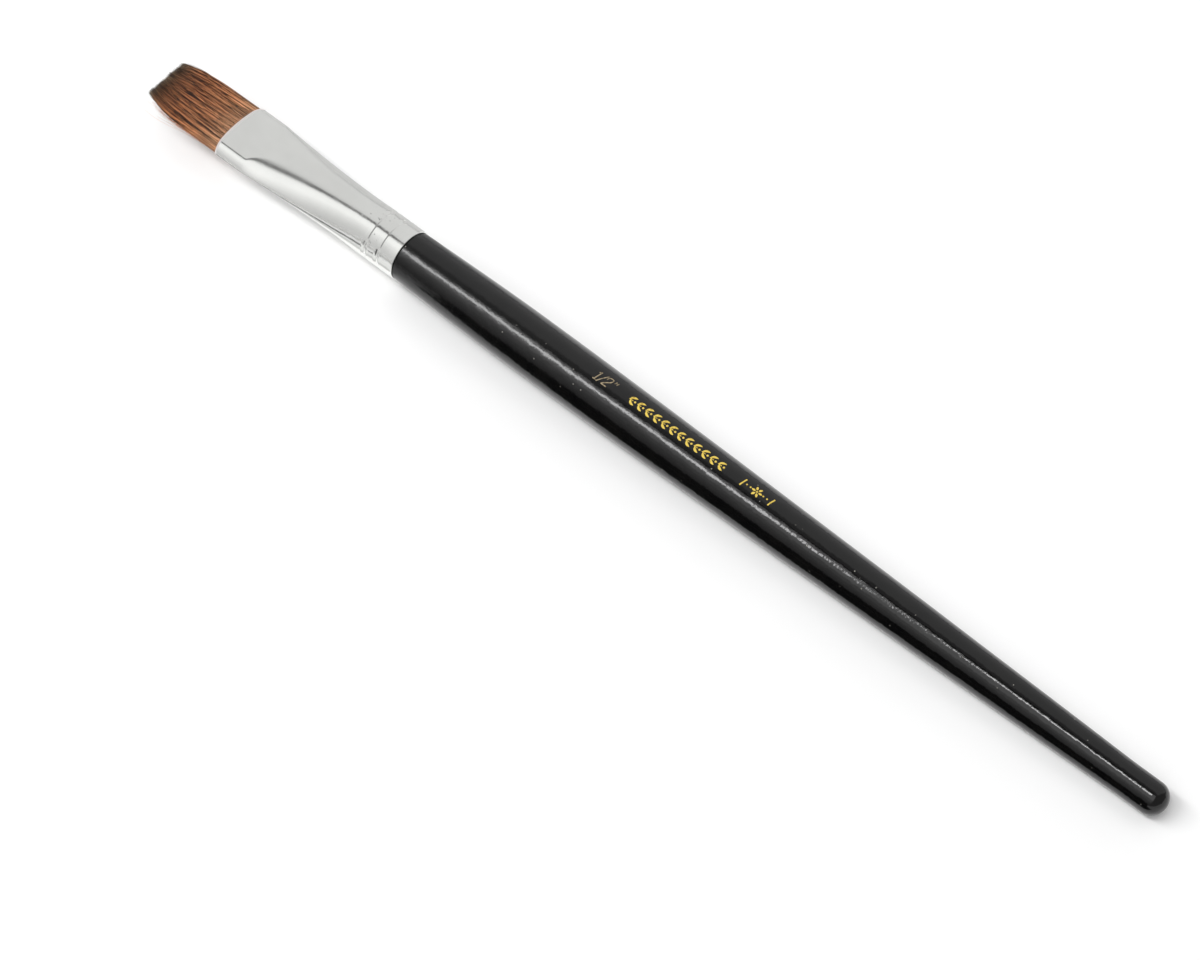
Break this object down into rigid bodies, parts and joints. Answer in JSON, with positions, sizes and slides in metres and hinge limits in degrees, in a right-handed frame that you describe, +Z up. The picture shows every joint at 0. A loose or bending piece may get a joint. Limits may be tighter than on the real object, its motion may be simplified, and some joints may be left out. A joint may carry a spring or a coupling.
{
  "type": "flat artist's paint brush",
  "caption": "Flat wash paint brush: brown hair in a flattened metal ferrule, round tapered handle in gloss black lacquer.",
  "frame": {"origin": "bottom centre of the bounding box: on the table, under the middle of the brush's length", "axes": "+X along the brush towards the butt of the handle, -X towards the hair, +Y across the flat of the hair, +Z up from the table it lies on"},
  "size_m": [0.2362, 0.0136, 0.0118],
  "materials": {
    "lacquered_wood": "gloss black lacquer over turned wood",
    "ferrule_metal": "satin, lightly scratched",
    "resin": "cured clear amber resin",
    "hair": "soft brown hair with darker tips",
    "thread": "waxed natural thread"
  },
  "bodies": {
    "brush": {"handle": "lacquered_wood", "ferrule": "ferrule_metal", "resin_plug": "resin", "hair_root": "hair", "tie_thread": "thread"},
    "hair": {"tuft": "hair"}
  },
  "joints": [
    {"name": "tuft_flex", "type": "hinge", "parent": "brush", "child": "hair", "pos_m": [-0.10087, 0, 0.00758], "axis": [0, 1, 0], "range_deg": [-20, 40], "stiffness_Nm_per_rad": 0.006}
  ]
}
